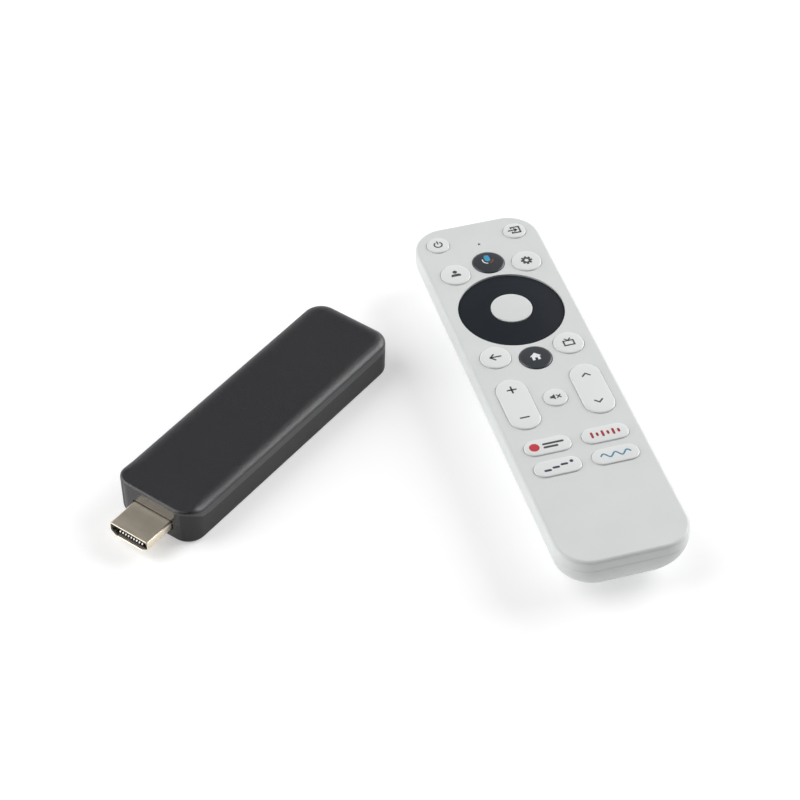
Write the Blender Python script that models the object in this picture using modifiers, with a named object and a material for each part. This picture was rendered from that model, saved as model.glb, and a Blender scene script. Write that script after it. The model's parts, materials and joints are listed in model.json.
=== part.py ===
"""Streaming media player kit: an HDMI stick and its hand remote, as separate real pieces.

Frame: the origin is the centre of the stick's base, +Y runs along the stick away from its plug,
+Z is up and both objects lie on z = 0. Sizes below are in millimetres; MM turns them into metres.
"""
import math

import bmesh
import bpy
from mathutils import Matrix, Vector

MM = 0.001

# ---- Stick: driving dimensions -------------------------------------------------------------
STICK_LENGTH = 94.0
STICK_WIDTH = 28.6
STICK_HEIGHT = 12.4
STICK_CORNER = 5.9
STICK_TOP_RIM = 2.6
STICK_BOTTOM_RIM = 1.7
STICK_WALL = 1.5
STICK_PARTING = 10.2          # height of the line between the two covers
PARTING_GAP = 0.15
LIP_DEPTH = 1.6               # how far the top cover reaches down inside the bottom cover
LIP_WALL = 0.8

PLUG_WIDTH = 13.9             # HDMI type A plug section
PLUG_HEIGHT = 4.45
PLUG_CHAMFER = 2.3
PLUG_CHAMFER_RISE = 1.6
PLUG_REACH = 10.3             # how far the plug stands out of the stick
PLUG_TAIL = 8.0               # how far it runs inside
PLUG_X = 0.5
PLUG_Z = 4.9
PLUG_WALL = 0.4
CONTACT_PITCH = 1.0

BOARD_BOTTOM = 4.4
BOARD_THICKNESS = 1.0
ON_BOARD = BOARD_BOTTOM + BOARD_THICKNESS + 0.2
USB_SIZE = (7.5, 6.6, 2.5)
USB_WALL = 0.35
SIDE_HOLE_GAP = 0.2

# ---- Remote: driving dimensions ------------------------------------------------------------
REMOTE_LENGTH = 145.4
REMOTE_WIDTH = 39.4
REMOTE_HEIGHT = 16.0
REMOTE_CORNER = 9.9
REMOTE_TOP_RIM = 1.4
REMOTE_AT = (62.9, 55.5)      # plan centre of the remote in the stick's frame
REMOTE_TURN = 53.3            # degrees anticlockwise from the stick's own direction
BELLY_TOP = 12.1              # the underside starts to curve in below this height
BELLY_SIDE = 16.3             # how far the curve comes in at the long sides
BELLY_END = 12.1              # and at the two ends
BELLY_CORNER = 3.2            # plan corner radius of the flat that is left underneath
REMOTE_WALL = 1.2
REMOTE_PARTING = 12.3
REMOTE_CEILING = 14.9         # inner face of the top cover

DOOR_FRONT = -13.0            # the battery door runs from here to the tail
DOOR_HEIGHT = 5.0
DOOR_GAP = 0.3

CELL_RADIUS = 5.25            # AAA cell
CELL_LENGTH = 44.5
CELL_X = 5.5
CELL_Z = 6.85
CELL_TAIL = -62.5             # tail end of both cells

KEY_GAP = 0.3
KEY_TOP = 16.5
KEY_FLANGE = (14.2, 14.6)
KEY_FLANGE_OUT = 0.7
ROCKER_FLANGE = (14.0, 14.4)
REMOTE_BOARD = (12.25, 12.85)
KEY_MAT = (13.0, 13.4)

ROUND_KEYS = {                # name: (x, y, radius)
    "power_key": (-12.3, 64.9, 3.5),
    "input_key": (12.3, 64.9, 3.5),
    "assistant_key": (0.0, 53.0, 4.9),
    "profile_key": (-11.3, 50.3, 4.55),
    "settings_key": (11.3, 50.3, 4.55),
    "back_key": (-11.3, 11.9, 4.6),
    "home_key": (0.0, 8.7, 4.9),
    "live_tv_key": (11.3, 11.9, 4.6),
    "mute_key": (0.0, -8.9, 3.55),
}
DARK_KEYS = ("assistant_key", "home_key")
APP_KEY_SIZE = (14.0, 6.2)
APP_KEYS = {
    "app_key_1": (-8.6, -26.9),
    "app_key_2": (8.6, -26.9),
    "app_key_3": (-8.6, -35.6),
    "app_key_4": (8.6, -35.6),
}
ROCKER_SIZE = (9.4, 21.0)
ROCKERS = {"volume_rocker": (-11.2, -8.6), "channel_rocker": (11.4, -8.4)}

DPAD_AT = (0.0, 30.9)
DPAD_RADIUS = 15.85
DPAD_EDGE_TOP = 15.6           # the ring rises from its edge to its bore
DPAD_BORE_TOP = 16.5
DPAD_BOTTOM = 14.55
DPAD_STEP = 15.2               # ceiling of the recess under the bore
DPAD_PIVOT = 14.3
DPAD_RECESS = 7.6             # wide lower bore that holds the OK key's flange
OK_RADIUS = 6.2
OK_TOP = 16.7
ROCKER_PLATE = (13.6, 14.1)
ROCKER_PLATE_RADIUS = 12.5

MIC_AT = (0.0, 62.1)
MIC_HOLE_RADIUS = 0.5
WINDOW_SIZE = (9.0, 1.0, 1.5)

ROUND_STEPS = 24

# ---- Scene, collections and materials ------------------------------------------------------


def clear_scene():
    for obj in list(bpy.data.objects):
        bpy.data.objects.remove(obj, do_unlink=True)


def new_collection(name):
    collection = bpy.data.collections.new(name)
    bpy.context.scene.collection.children.link(collection)
    return collection


def principled(name, colour, roughness, metallic=0.0, alpha=1.0):
    material = bpy.data.materials.new(name)
    material.use_nodes = True
    shader = material.node_tree.nodes["Principled BSDF"]
    shader.inputs["Base Color"].default_value = (*colour, 1.0)
    shader.inputs["Roughness"].default_value = roughness
    shader.inputs["Metallic"].default_value = metallic
    shader.inputs["Alpha"].default_value = alpha
    return material


clear_scene()
PARTS = new_collection("streaming_media_player")
CUTTERS = new_collection("cutters")

CHARCOAL = principled("charcoal_plastic", (0.036, 0.037, 0.041), 0.5)
WHITE = principled("white_plastic", (0.66, 0.67, 0.66), 0.45)
KEY_WHITE = principled("white_key_plastic", (0.8, 0.81, 0.8), 0.4)
KEY_DARK = principled("dark_key_plastic", (0.04, 0.04, 0.043), 0.4)
RING_BLUE = principled("navy_grey_plastic", (0.026, 0.03, 0.039), 0.5)
NICKEL = principled("nickel_plate", (0.42, 0.38, 0.32), 0.3, metallic=1.0)
GOLD = principled("gold_contact", (0.75, 0.53, 0.2), 0.25, metallic=1.0)
INSULATOR = principled("black_insulator", (0.02, 0.02, 0.02), 0.6)
BOARD_GREEN = principled("green_board", (0.02, 0.13, 0.06), 0.45)
CHIP_BLACK = principled("chip_resin", (0.015, 0.015, 0.016), 0.5)
SHIELD_TIN = principled("tinned_steel", (0.6, 0.6, 0.58), 0.35, metallic=1.0)
ALUMINIUM = principled("aluminium_sheet", (0.7, 0.7, 0.71), 0.4, metallic=1.0)
PAD_GREY = principled("thermal_silicone", (0.35, 0.4, 0.45), 0.8)
RUBBER = principled("silicone_rubber", (0.25, 0.25, 0.26), 0.75)
CLEAR = principled("clear_plastic", (0.8, 0.82, 0.8), 0.15, alpha=0.6)
IR_BLACK = principled("infrared_window", (0.02, 0.005, 0.008), 0.1)
CELL_JACKET = principled("cell_jacket", (0.12, 0.14, 0.16), 0.35)

# ---- Building tools ------------------------------------------------------------------------


def to_metres(point):
    return Vector(point) * MM


def add_object(name, mesh, material, at=(0, 0, 0), turn=(0, 0, 0), parent=None, cutter=False):
    obj = bpy.data.objects.new(name, mesh)
    obj.location = to_metres(at)
    obj.rotation_euler = turn
    obj.parent = parent
    if cutter:
        CUTTERS.objects.link(obj)
        obj.hide_render = True
        obj.display_type = "WIRE"
    else:
        PARTS.objects.link(obj)
        obj.data.materials.append(material)
    return obj


def mesh_from(bm, name):
    mesh = bpy.data.meshes.new(name)
    bm.to_mesh(mesh)
    bm.free()
    return mesh


def shade_round(obj):
    obj.data.shade_smooth()
    obj.data.set_sharp_from_angle(angle=math.radians(35))


def boolean(obj, tool, operation="DIFFERENCE"):
    modifier = obj.modifiers.new(operation.lower() + "_" + tool.name, "BOOLEAN")
    modifier.operation = operation
    modifier.solver = "EXACT"
    modifier.object = tool


def level_edges(bm, height):
    return [edge for edge in bm.edges
            if all(abs(vert.co.z - height) < 1e-7 for vert in edge.verts)]


def bevel(bm, edges, offset, steps):
    bmesh.ops.bevel(bm, geom=edges, offset=offset, offset_type="OFFSET", segments=steps,
                    profile=0.5, affect="EDGES", clamp_overlap=True)


def block_bmesh(size, corner=0.0, corner_steps=4, top_rim=0.0, bottom_rim=0.0, rim_steps=2):
    """A box standing on z = 0, centred in plan, with rounded plan corners and rims."""
    width, length, height = (value * MM for value in size)
    stand = Matrix.Translation((0, 0, height / 2)) @ Matrix.Diagonal((width, length, height, 1))
    bm = bmesh.new()
    bmesh.ops.create_cube(bm, size=1.0, matrix=stand)
    if corner:
        upright = [edge for edge in bm.edges
                   if abs(edge.verts[0].co.z - edge.verts[1].co.z) > height / 2]
        bevel(bm, upright, corner * MM, corner_steps)
    if top_rim:
        bevel(bm, level_edges(bm, height), top_rim * MM, rim_steps)
    if bottom_rim:
        bevel(bm, level_edges(bm, 0.0), bottom_rim * MM, rim_steps)
    return bm


def block(name, size, base, material=None, parent=None, cutter=False, **rounding):
    """A block whose base centre is at `base`; its origin is there too."""
    mesh = mesh_from(block_bmesh(size, **rounding), name)
    return add_object(name, mesh, material, at=base, parent=parent, cutter=cutter)


def turned(name, profile, material=None, at=(0, 0, 0), turn=(0, 0, 0), parent=None,
           cutter=False, closed=False):
    """Screw a profile of (radius, height) points about Z; it runs down its outer side."""
    bm = bmesh.new()
    verts = [bm.verts.new((radius * MM, 0, height * MM)) for radius, height in profile]
    ends = verts[1:] + (verts[:1] if closed else [])
    for start, end in zip(verts, ends):
        bm.edges.new((start, end))
    obj = add_object(name, mesh_from(bm, name), material, at, turn, parent, cutter)
    screw = obj.modifiers.new("turn", "SCREW")
    screw.steps = ROUND_STEPS
    screw.render_steps = ROUND_STEPS
    screw.use_merge_vertices = True
    screw.merge_threshold = 1e-6
    screw.use_smooth_shade = True
    return obj


def prism(name, outline, thickness, material=None, at=(0, 0, 0), turn=(0, 0, 0), parent=None,
          cutter=False):
    """A flat outline in XY, made solid from -thickness / 2 to +thickness / 2."""
    curve = bpy.data.curves.new(name, "CURVE")
    curve.dimensions = "2D"
    curve.fill_mode = "BOTH"
    curve.extrude = thickness * MM / 2
    spline = curve.splines.new("POLY")
    spline.points.add(len(outline) - 1)
    for point, (x, y) in zip(spline.points, outline):
        point.co = (x * MM, y * MM, 0, 1)
    spline.use_cyclic_u = True
    guide = bpy.data.objects.new(name + "_outline", curve)
    CUTTERS.objects.link(guide)
    graph = bpy.context.evaluated_depsgraph_get()
    bm = bmesh.new()
    bm.from_mesh(bpy.data.meshes.new_from_object(guide.evaluated_get(graph)))
    bpy.data.objects.remove(guide)
    bmesh.ops.remove_doubles(bm, verts=bm.verts, dist=1e-6)
    bmesh.ops.recalc_face_normals(bm, faces=bm.faces)
    return add_object(name, mesh_from(bm, name), material, at, turn, parent, cutter)


def section_ring(half_width, half_length, corner, height, steps=5):
    """Points round a rounded rectangle, counter-clockwise seen from above."""
    points = []
    for quarter in range(4):
        sign_x = 1 if quarter in (0, 3) else -1
        sign_y = 1 if quarter in (0, 1) else -1
        centre = Vector((sign_x * (half_width - corner), sign_y * (half_length - corner), height))
        for step in range(steps + 1):
            angle = math.radians(90) * (quarter + step / steps)
            points.append(centre + corner * Vector((math.cos(angle), math.sin(angle), 0)))
    return points


def loft(name, rings, material=None, parent=None, cutter=False):
    """A closed body through rings of equal point count, given from bottom to top."""
    bm = bmesh.new()
    loops = [[bm.verts.new(point * MM) for point in ring] for ring in rings]
    count = len(loops[0])
    for lower, upper in zip(loops, loops[1:]):
        for index in range(count):
            after = (index + 1) % count
            bm.faces.new((lower[index], lower[after], upper[after], upper[index]))
    bm.faces.new(reversed(loops[0]))
    bm.faces.new(loops[-1])
    return add_object(name, mesh_from(bm, name), material, parent=parent, cutter=cutter)


# ---- Stick ---------------------------------------------------------------------------------
STICK_END = STICK_LENGTH / 2


def stick_body(name, bottom, top):
    """The stick's full outer form, kept between two heights."""
    body = block(name, (STICK_WIDTH, STICK_LENGTH, STICK_HEIGHT), (0, 0, 0), CHARCOAL,
                 corner=STICK_CORNER, top_rim=STICK_TOP_RIM, bottom_rim=STICK_BOTTOM_RIM,
                 corner_steps=5, rim_steps=3)
    keep = block(name + "_keep", (STICK_WIDTH + 8, STICK_LENGTH + 8, top - bottom),
                 (0, 0, bottom), cutter=True)
    boolean(body, keep, "INTERSECT")
    return body


def inset_block(name, inset, bottom, top, **options):
    """A block that follows the stick's plan at a distance inside it."""
    size = (STICK_WIDTH - 2 * inset, STICK_LENGTH - 2 * inset, top - bottom)
    return block(name, size, (0, 0, bottom), corner=STICK_CORNER - inset, **options)


def make_stick_covers():
    bottom_cover = stick_body("player_bottom_cover", -1.0, STICK_PARTING)
    boolean(bottom_cover, inset_block("bottom_cavity", STICK_WALL, STICK_WALL,
                                      STICK_HEIGHT + 4, cutter=True))
    plug_opening = block("plug_opening", (PLUG_WIDTH + 0.6, 8, PLUG_HEIGHT + 0.6),
                         (PLUG_X, -STICK_END, PLUG_Z - PLUG_HEIGHT / 2 - 0.3), cutter=True)
    usb_opening = block("usb_opening", (USB_SIZE[0] + 0.6, 8, USB_SIZE[2] + 0.6),
                        (0, STICK_END, ON_BOARD - 0.3), cutter=True)
    boolean(bottom_cover, plug_opening)
    boolean(bottom_cover, usb_opening)
    for name, (place, radius) in SIDE_HOLES.items():
        hole = turned(name, [(0, 8), (radius, 8), (radius, 0), (0, 0)], cutter=True,
                      at=(-STICK_WIDTH / 2 - 4, *place), turn=(0, math.radians(90), 0))
        boolean(bottom_cover, hole)

    top_cover = stick_body("player_top_cover", STICK_PARTING + PARTING_GAP, STICK_HEIGHT + 1)
    lip_inset = STICK_WALL + 0.2
    lip = inset_block("top_lip", lip_inset, STICK_PARTING - LIP_DEPTH, STICK_HEIGHT - 1.2,
                      cutter=True)
    boolean(top_cover, lip, "UNION")
    boolean(top_cover, inset_block("top_cavity", lip_inset + LIP_WALL, 0.0,
                                   STICK_HEIGHT - STICK_WALL, cutter=True))


def plug_outline(margin):
    """The HDMI plug's section, moved in by `margin`, as (across, up) points."""
    half_width = PLUG_WIDTH / 2 - margin
    half_height = PLUG_HEIGHT / 2 - margin
    chamfer = PLUG_CHAMFER - margin * 0.5
    rise = PLUG_CHAMFER_RISE - margin * 0.5
    return [(half_width, half_height), (-half_width, half_height),
            (-half_width, -half_height + rise), (-half_width + chamfer, -half_height),
            (half_width - chamfer, -half_height), (half_width, -half_height + rise)]


def plug_prism(name, margin, front, back, material=None, cutter=False):
    """A prism of the plug's section between two distances along Y."""
    return prism(name, plug_outline(margin), back - front, material,
                 at=(PLUG_X, (front + back) / 2, PLUG_Z), turn=(math.radians(90), 0, 0),
                 cutter=cutter)


def contact_comb(name, count, height):
    """One row of plug contacts on their common rear bar."""
    length, width, bar = 7.5, 0.5, 1.2
    start = -(count - 1) * CONTACT_PITCH / 2
    outline = [(start - width / 2, 0)]
    for index in range(count):
        x = start + index * CONTACT_PITCH
        if index:
            outline.append((x - width / 2, bar))
        outline += [(x - width / 2, length), (x + width / 2, length)]
        if index < count - 1:
            outline.append((x + width / 2, bar))
    outline.append((-start + width / 2, 0))
    tip = -STICK_END - PLUG_REACH + 1.0
    prism(name, outline, 0.25, GOLD, at=(PLUG_X, tip + length, height),
          turn=(0, 0, math.radians(180)))


def make_plug():
    front = -STICK_END - PLUG_REACH
    back = -STICK_END + PLUG_TAIL
    shell = plug_prism("hdmi_plug_shell", 0.0, front, back, NICKEL)
    boolean(shell, plug_prism("plug_bore", PLUG_WALL, front - 2, back + 2, cutter=True))
    insulator = plug_prism("hdmi_insulator", PLUG_WALL + 0.15, front + 0.6, back - 0.5, INSULATOR)
    slot = block("plug_slot", (11.4, 10.0, 2.0), (PLUG_X, front + 4.0, PLUG_Z - 0.8), cutter=True)
    boolean(insulator, slot)
    contact_comb("hdmi_contacts_upper", 10, PLUG_Z + 0.95)
    contact_comb("hdmi_contacts_lower", 9, PLUG_Z - 0.55)


RESET_AT = (30.0, 7.0)        # (y, z) of the button on the stick's left side
RESET_RADIUS = 1.0
LIGHT_AT = (24.0, 6.4)
LIGHT_RADIUS = 0.8
SIDE_HOLES = {
    "reset_hole": (RESET_AT, RESET_RADIUS + SIDE_HOLE_GAP),
    "light_hole": (LIGHT_AT, LIGHT_RADIUS + SIDE_HOLE_GAP),
}


def make_stick_electronics():
    board_front = -STICK_END + PLUG_TAIL + 0.3
    board_back = STICK_END - 2.2
    block("main_board", (24.0, board_back - board_front, BOARD_THICKNESS),
          (0, (board_front + board_back) / 2, BOARD_BOTTOM), BOARD_GREEN, corner=3.5)
    block("processor", (13.0, 13.0, 1.2), (0, -8.0, ON_BOARD), CHIP_BLACK)
    block("memory_chip", (9.0, 11.0, 0.9), (0, 6.5, ON_BOARD), CHIP_BLACK)
    block("flash_chip", (11.5, 13.0, 1.0), (1.0, 25.0, ON_BOARD), CHIP_BLACK)
    block("thermal_pad", (12.0, 12.0, 0.7), (0, -8.0, ON_BOARD + 1.4), PAD_GREY)
    shield = block("rf_shield", (20.0, 34.0, 2.8), (0, -1.5, ON_BOARD), SHIELD_TIN, corner=1.0,
                   corner_steps=2)
    boolean(shield, block("shield_cavity", (19.2, 33.2, 3.4), (0, -1.5, ON_BOARD - 1.0),
                          cutter=True))
    block("heat_spreader", (20.6, 60.0, 0.8), (0, -3.0, 8.7), ALUMINIUM, corner=2.0,
          corner_steps=2)
    block("wifi_module", (12.0, 12.0, 1.6), (-4.0, 25.0, BOARD_BOTTOM - 1.8), SHIELD_TIN)
    block("antenna", (18.0, 8.0, 0.4), (0, 34.0, 8.7), GOLD)
    block("power_inductor", (4.0, 4.0, 1.9), (6.0, 36.0, BOARD_BOTTOM - 2.1), CHIP_BLACK,
          corner=0.8, corner_steps=2)
    block("clock_crystal", (3.2, 2.5, 0.8), (8.0, -24.0, ON_BOARD), SHIELD_TIN)


def make_usb_port():
    end = STICK_END - 0.2
    middle = end - USB_SIZE[1] / 2
    port = block("micro_usb_port", USB_SIZE, (0, middle, ON_BOARD), SHIELD_TIN, corner=0.0)
    hollow = (USB_SIZE[0] - 2 * USB_WALL, USB_SIZE[1], USB_SIZE[2] - 2 * USB_WALL)
    boolean(port, block("usb_hollow", hollow, (0, middle + 0.6, ON_BOARD + USB_WALL),
                        cutter=True))
    block("micro_usb_tongue", (4.6, 4.6, 0.6), (0, end - 3.4, ON_BOARD + 1.1), INSULATOR)


def make_side_controls():
    side = -STICK_WIDTH / 2
    inner = side + STICK_WALL
    stem = inner + 0.3 - side
    quarter_turn = (0, math.radians(-90), 0)
    turned("reset_button",
           [(0, 0), (RESET_RADIUS, 0), (RESET_RADIUS, -stem), (RESET_RADIUS + 0.5, -stem),
            (RESET_RADIUS + 0.5, -stem - 0.6), (0, -stem - 0.6)],
           CHARCOAL, at=(side, *RESET_AT), turn=quarter_turn)
    block("reset_switch", (3.2, 3.0, 2.4), (side + 4.8, RESET_AT[0], ON_BOARD), CHIP_BLACK)
    turned("status_light_guide",
           [(0, 0), (LIGHT_RADIUS, 0), (LIGHT_RADIUS, -2.7), (0, -2.7)],
           CLEAR, at=(side, *LIGHT_AT), turn=quarter_turn)
    block("status_led", (1.2, 1.6, 1.6), (side + 3.7, LIGHT_AT[0], ON_BOARD), CLEAR)


# ---- Remote --------------------------------------------------------------------------------
REMOTE_PLACE = bpy.data.objects.new("remote_place", None)
REMOTE_PLACE.location = to_metres((*REMOTE_AT, 0))
REMOTE_PLACE.rotation_euler = (0, 0, math.radians(REMOTE_TURN))
PARTS.objects.link(REMOTE_PLACE)


def belly_rings(wall, steps=7):
    """Sections of the curved underside, moved in by `wall`, from its flat up to the parting."""
    rings = []
    for step in range(steps, -1, -1):
        angle = math.radians(90) * step / steps
        turned_in = 1 - math.cos(angle)
        height = BELLY_TOP - (BELLY_TOP - wall) * math.sin(angle)
        half_width = REMOTE_WIDTH / 2 - wall - (BELLY_SIDE - wall) * turned_in
        half_length = REMOTE_LENGTH / 2 - wall - (BELLY_END - wall) * turned_in
        corner = REMOTE_CORNER - wall + (BELLY_CORNER - REMOTE_CORNER + wall) * turned_in
        rings.append(section_ring(half_width, half_length, corner, height))
    top = REMOTE_PARTING if wall == 0 else REMOTE_PARTING + 4
    rings.append(section_ring(REMOTE_WIDTH / 2 - wall, REMOTE_LENGTH / 2 - wall,
                              REMOTE_CORNER - wall, top))
    return rings


def belly_shell(name, material):
    shell = loft(name, belly_rings(0.0), material, parent=REMOTE_PLACE)
    boolean(shell, loft(name + "_cavity", belly_rings(REMOTE_WALL), parent=REMOTE_PLACE,
                        cutter=True))
    return shell


def door_zone(name, gap):
    """The box that the battery door fills, shrunk by `gap` where it meets the cover."""
    length = REMOTE_LENGTH
    front = DOOR_FRONT - gap
    height = DOOR_HEIGHT - gap
    return block(name, (REMOTE_WIDTH + 10, length, height + 2), (0, front - length / 2, -2),
                 parent=REMOTE_PLACE, cutter=True)


def key_hole_cutter():
    """Every opening in the remote's top cover as one cutter."""
    bottom, height = REMOTE_CEILING - 1, 4.0
    holes = [(x, y, radius + KEY_GAP) for x, y, radius in ROUND_KEYS.values()]
    holes += [(*DPAD_AT, DPAD_RADIUS + KEY_GAP), (*MIC_AT, MIC_HOLE_RADIUS)]
    bm = bmesh.new()
    for x, y, radius in holes:
        stand = Matrix.Translation(to_metres((x, y, bottom + height / 2)))
        bmesh.ops.create_cone(bm, cap_ends=True, segments=ROUND_STEPS, radius1=radius * MM,
                              radius2=radius * MM, depth=height * MM, matrix=stand)
    slots = [(place, APP_KEY_SIZE) for place in APP_KEYS.values()]
    slots += [(place, ROCKER_SIZE) for place in ROCKERS.values()]
    for (x, y), (width, length) in slots:
        size = (width + 2 * KEY_GAP, length + 2 * KEY_GAP, height)
        slot = block_bmesh(size, corner=min(size[:2]) / 2 - 0.05, corner_steps=6)
        slot.transform(Matrix.Translation(to_metres((x, y, bottom))))
        bm.from_mesh(mesh_from(slot, "slot"))
    return add_object("key_holes", mesh_from(bm, "key_holes"), None, parent=REMOTE_PLACE,
                      cutter=True)


def make_remote_covers():
    bottom_cover = belly_shell("remote_bottom_cover", WHITE)
    boolean(bottom_cover, door_zone("door_opening", 0.0))
    door = belly_shell("battery_door", WHITE)
    boolean(door, door_zone("door_keep", DOOR_GAP), "INTERSECT")

    base = REMOTE_PARTING + PARTING_GAP
    top_cover = block("remote_top_cover", (REMOTE_WIDTH, REMOTE_LENGTH, REMOTE_HEIGHT - base),
                      (0, 0, base), WHITE, parent=REMOTE_PLACE, corner=REMOTE_CORNER,
                      corner_steps=5, top_rim=REMOTE_TOP_RIM)
    cavity = (REMOTE_WIDTH - 2 * REMOTE_WALL, REMOTE_LENGTH - 2 * REMOTE_WALL,
              REMOTE_CEILING - base + 2)
    boolean(top_cover, block("top_hollow", cavity, (0, 0, base - 2), parent=REMOTE_PLACE,
                             cutter=True, corner=REMOTE_CORNER - REMOTE_WALL))
    boolean(top_cover, key_hole_cutter())
    width, depth, height = WINDOW_SIZE
    end = REMOTE_LENGTH / 2
    window_base = base + 0.35
    block("infrared_window", WINDOW_SIZE, (0, end - depth / 2, window_base), IR_BLACK,
          parent=REMOTE_PLACE)
    boolean(top_cover, block("window_opening", (width + 0.4, 6, height + 0.4),
                             (0, end, window_base - 0.2), parent=REMOTE_PLACE, cutter=True))


def make_round_keys():
    low, high = KEY_FLANGE
    for name, (x, y, radius) in ROUND_KEYS.items():
        profile = [(0, KEY_TOP - low), (radius - 0.4, KEY_TOP - low),
                   (radius, KEY_TOP - low - 0.4), (radius, high - low),
                   (radius + KEY_FLANGE_OUT, high - low), (radius + KEY_FLANGE_OUT, 0), (0, 0)]
        material = KEY_DARK if name in DARK_KEYS else KEY_WHITE
        turned(name, profile, material, at=(x, y, low), parent=REMOTE_PLACE)


def long_key(name, place, size, flange, origin_height, parent):
    """A stadium-shaped key with a flange under it and its origin at `origin_height`."""
    width, length = size
    low, high = flange
    stem = block_bmesh((width, length, KEY_TOP - low), corner=min(size) / 2 - 0.05,
                       corner_steps=5, top_rim=0.4, rim_steps=1)
    foot_size = (width + 2 * KEY_FLANGE_OUT, length + 2 * KEY_FLANGE_OUT, high - low)
    foot = block_bmesh(foot_size, corner=min(foot_size[:2]) / 2 - 0.05, corner_steps=5)
    drop = Matrix.Translation(to_metres((0, 0, low - origin_height)))
    stem.transform(drop)
    foot.transform(drop)
    key = add_object(name, mesh_from(stem, name), KEY_WHITE, at=(*place, origin_height),
                     parent=parent)
    foot_object = add_object(name + "_foot", mesh_from(foot, name + "_foot"), None,
                             at=(*place, origin_height), parent=parent, cutter=True)
    boolean(key, foot_object, "UNION")


def make_long_keys():
    for name, place in APP_KEYS.items():
        long_key(name, place, APP_KEY_SIZE, KEY_FLANGE, KEY_FLANGE[0], REMOTE_PLACE)
    for name, place in ROCKERS.items():
        long_key(name, place, ROCKER_SIZE, ROCKER_FLANGE, ROCKER_FLANGE[0], REMOTE_PLACE)


def make_dpad():
    """The ring, the plate it rocks on and the OK key through both."""
    bore = OK_RADIUS + KEY_GAP
    at = (*DPAD_AT, DPAD_PIVOT)
    ring = [(bore, DPAD_BORE_TOP), (DPAD_RADIUS - 0.3, DPAD_EDGE_TOP),
            (DPAD_RADIUS, DPAD_EDGE_TOP - 0.3), (DPAD_RADIUS, DPAD_BOTTOM),
            (DPAD_RECESS, DPAD_BOTTOM), (DPAD_RECESS, DPAD_STEP),
            (bore, DPAD_STEP)]
    turned("dpad_ring", [(radius, z - DPAD_PIVOT) for radius, z in ring], RING_BLUE, at=at,
           parent=REMOTE_PLACE, closed=True)
    low, high = ROCKER_PLATE
    plate = [(DPAD_RECESS, high), (ROCKER_PLATE_RADIUS, high), (ROCKER_PLATE_RADIUS, low),
             (DPAD_RECESS, low)]
    turned("dpad_rocker_plate", [(radius, z - DPAD_PIVOT) for radius, z in plate], KEY_DARK,
           at=at, parent=REMOTE_PLACE, closed=True)
    foot = 13.9
    ok_profile = [(0, OK_TOP), (OK_RADIUS - 0.4, OK_TOP), (OK_RADIUS, OK_TOP - 0.4),
                  (OK_RADIUS, 14.8), (OK_RADIUS + 0.7, 14.8), (OK_RADIUS + 0.7, 14.3),
                  (OK_RADIUS, 14.3), (OK_RADIUS, foot), (0, foot)]
    turned("ok_key", [(radius, z - foot) for radius, z in ok_profile], KEY_WHITE,
           at=(*DPAD_AT, foot), parent=REMOTE_PLACE)


def make_remote_electronics():
    low, high = REMOTE_BOARD
    front, back = 69.4, -60.0
    block("remote_board", (33.6, front - back, high - low), (0, (front + back) / 2, low),
          BOARD_GREEN, parent=REMOTE_PLACE, corner=7.6, corner_steps=4)
    mat_low, mat_high = KEY_MAT
    mat_front, mat_back = 66.8, -42.0
    mat = block("key_mat", (32.8, mat_front - mat_back, mat_high - mat_low),
                (0, (mat_front + mat_back) / 2, mat_low), RUBBER, parent=REMOTE_PLACE, corner=5.0)
    window = DPAD_RADIUS + 0.4
    boolean(mat, turned("dpad_window", [(0, 3), (window, 3), (window, 0), (0, 0)], cutter=True,
                        at=(*DPAD_AT, mat_low - 1), parent=REMOTE_PLACE))
    boolean(mat, block("mic_window", (4.4, 4.0, 3), (*MIC_AT, mat_low - 1), cutter=True,
                       parent=REMOTE_PLACE))
    block("microphone", (2.8, 2.2, 0.9), (*MIC_AT, high + 0.15), SHIELD_TIN, parent=REMOTE_PLACE)
    block("infrared_led", (3.0, 1.7, 1.5), (0, 68.2, high + 0.15), IR_BLACK, parent=REMOTE_PLACE)
    block("radio_chip", (5.0, 5.0, 0.9), (0, 4.0, low - 1.05), CHIP_BLACK, parent=REMOTE_PLACE)
    block("radio_crystal", (3.2, 2.5, 0.8), (7.0, 5.0, low - 0.95), SHIELD_TIN,
          parent=REMOTE_PLACE)
    turned("board_capacitor", [(0, 5.4), (2.0, 5.4), (2.0, 0), (0, 0)], ALUMINIUM,
           at=(-8.0, 4.0, low - 5.55), parent=REMOTE_PLACE)


def make_cell(name, side, nub_towards_head):
    nub_radius, nub_height, rim = 1.9, 1.0, 0.4
    body = CELL_LENGTH - nub_height
    profile = [(0, CELL_LENGTH), (nub_radius, CELL_LENGTH), (nub_radius, body),
               (CELL_RADIUS - rim, body), (CELL_RADIUS, body - rim), (CELL_RADIUS, rim),
               (CELL_RADIUS - rim, 0), (0, 0)]
    start = CELL_TAIL if nub_towards_head else CELL_TAIL + CELL_LENGTH
    tilt = math.radians(-90 if nub_towards_head else 90)
    turned(name, profile, CELL_JACKET, at=(side * CELL_X, start, CELL_Z), turn=(tilt, 0, 0),
           parent=REMOTE_PLACE)


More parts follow.
